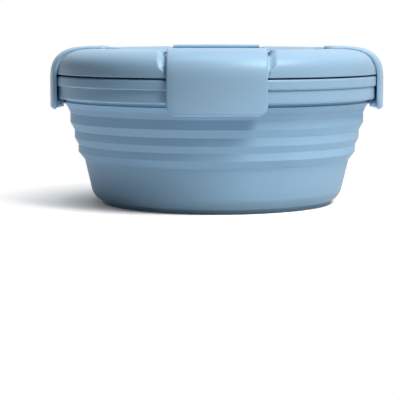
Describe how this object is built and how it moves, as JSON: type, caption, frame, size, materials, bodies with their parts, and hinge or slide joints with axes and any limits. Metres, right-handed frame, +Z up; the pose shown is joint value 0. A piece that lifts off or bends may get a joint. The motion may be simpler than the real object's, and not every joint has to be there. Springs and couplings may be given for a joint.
{
  "type": "collapsible lidded bowl",
  "caption": "Round collapsible silicone bowl with a stepped folding wall, a hard rim and a dished lid held by hinged latches that hook under the rim.",
  "frame": {"origin": "centre of the flat underside, with the bowl standing open", "axes": "+Z up along the bowl's axis; -Y towards the front latch; +X towards the right latch"},
  "size_m": [0.1816, 0.1816, 0.0851],
  "materials": {
    "silicone": "matte silicone",
    "hard_plastic": "satin moulded plastic",
    "gasket": "matte silicone",
    "hinge_pin": "moulded plastic"
  },
  "bodies": {
    "base": {"base_cup": "silicone"},
    "lower_band": {"lower_band": "silicone"},
    "middle_band": {"middle_band": "silicone"},
    "upper_band": {"upper_band": "silicone"},
    "rim": {"wall_collar": "silicone", "clamp_ring": "hard_plastic", "rim_ring": "hard_plastic"},
    "lid": {"lid_shell": "hard_plastic", "lid_gasket": "gasket", "front_hinge_pin": "hinge_pin", "right_hinge_pin": "hinge_pin", "back_hinge_pin": "hinge_pin", "left_hinge_pin": "hinge_pin"},
    "front_latch": {"front_latch": "hard_plastic"},
    "right_latch": {"right_latch": "hard_plastic"},
    "back_latch": {"back_latch": "hard_plastic"},
    "left_latch": {"left_latch": "hard_plastic"}
  },
  "joints": [
    {"name": "collapse", "type": "slide", "parent": "base", "child": "rim", "axis": [0, 0, -1], "range_m": [0, 0.05]},
    {"name": "lower_band_fold", "type": "slide", "parent": "base", "child": "lower_band", "axis": [0, 0, -1], "range_m": [0, 0.0125]},
    {"name": "middle_band_fold", "type": "slide", "parent": "base", "child": "middle_band", "axis": [0, 0, -1], "range_m": [0, 0.025]},
    {"name": "upper_band_fold", "type": "slide", "parent": "base", "child": "upper_band", "axis": [0, 0, -1], "range_m": [0, 0.0375]},
    {"name": "lid_lift", "type": "slide", "parent": "rim", "child": "lid", "axis": [0, 0, 1], "range_m": [0, 0.15]},
    {"name": "front_latch_swing", "type": "hinge", "parent": "lid", "child": "front_latch", "pos_m": [0, -0.0624, 0.0829], "axis": [-1, 0, 0], "range_deg": [0, 110]},
    {"name": "right_latch_swing", "type": "hinge", "parent": "lid", "child": "right_latch", "pos_m": [0.0624, 0, 0.0829], "axis": [0, -1, 0], "range_deg": [0, 110]},
    {"name": "back_latch_swing", "type": "hinge", "parent": "lid", "child": "back_latch", "pos_m": [0, 0.0624, 0.0829], "axis": [1, 0, 0], "range_deg": [0, 110]},
    {"name": "left_latch_swing", "type": "hinge", "parent": "lid", "child": "left_latch", "pos_m": [-0.0624, 0, 0.0829], "axis": [0, 1, 0], "range_deg": [0, 110]}
  ],
  "couplings": [
    {"joint": "lower_band_fold", "follows": "collapse", "ratio": 0.25},
    {"joint": "middle_band_fold", "follows": "collapse", "ratio": 0.5},
    {"joint": "upper_band_fold", "follows": "collapse", "ratio": 0.75}
  ]
}
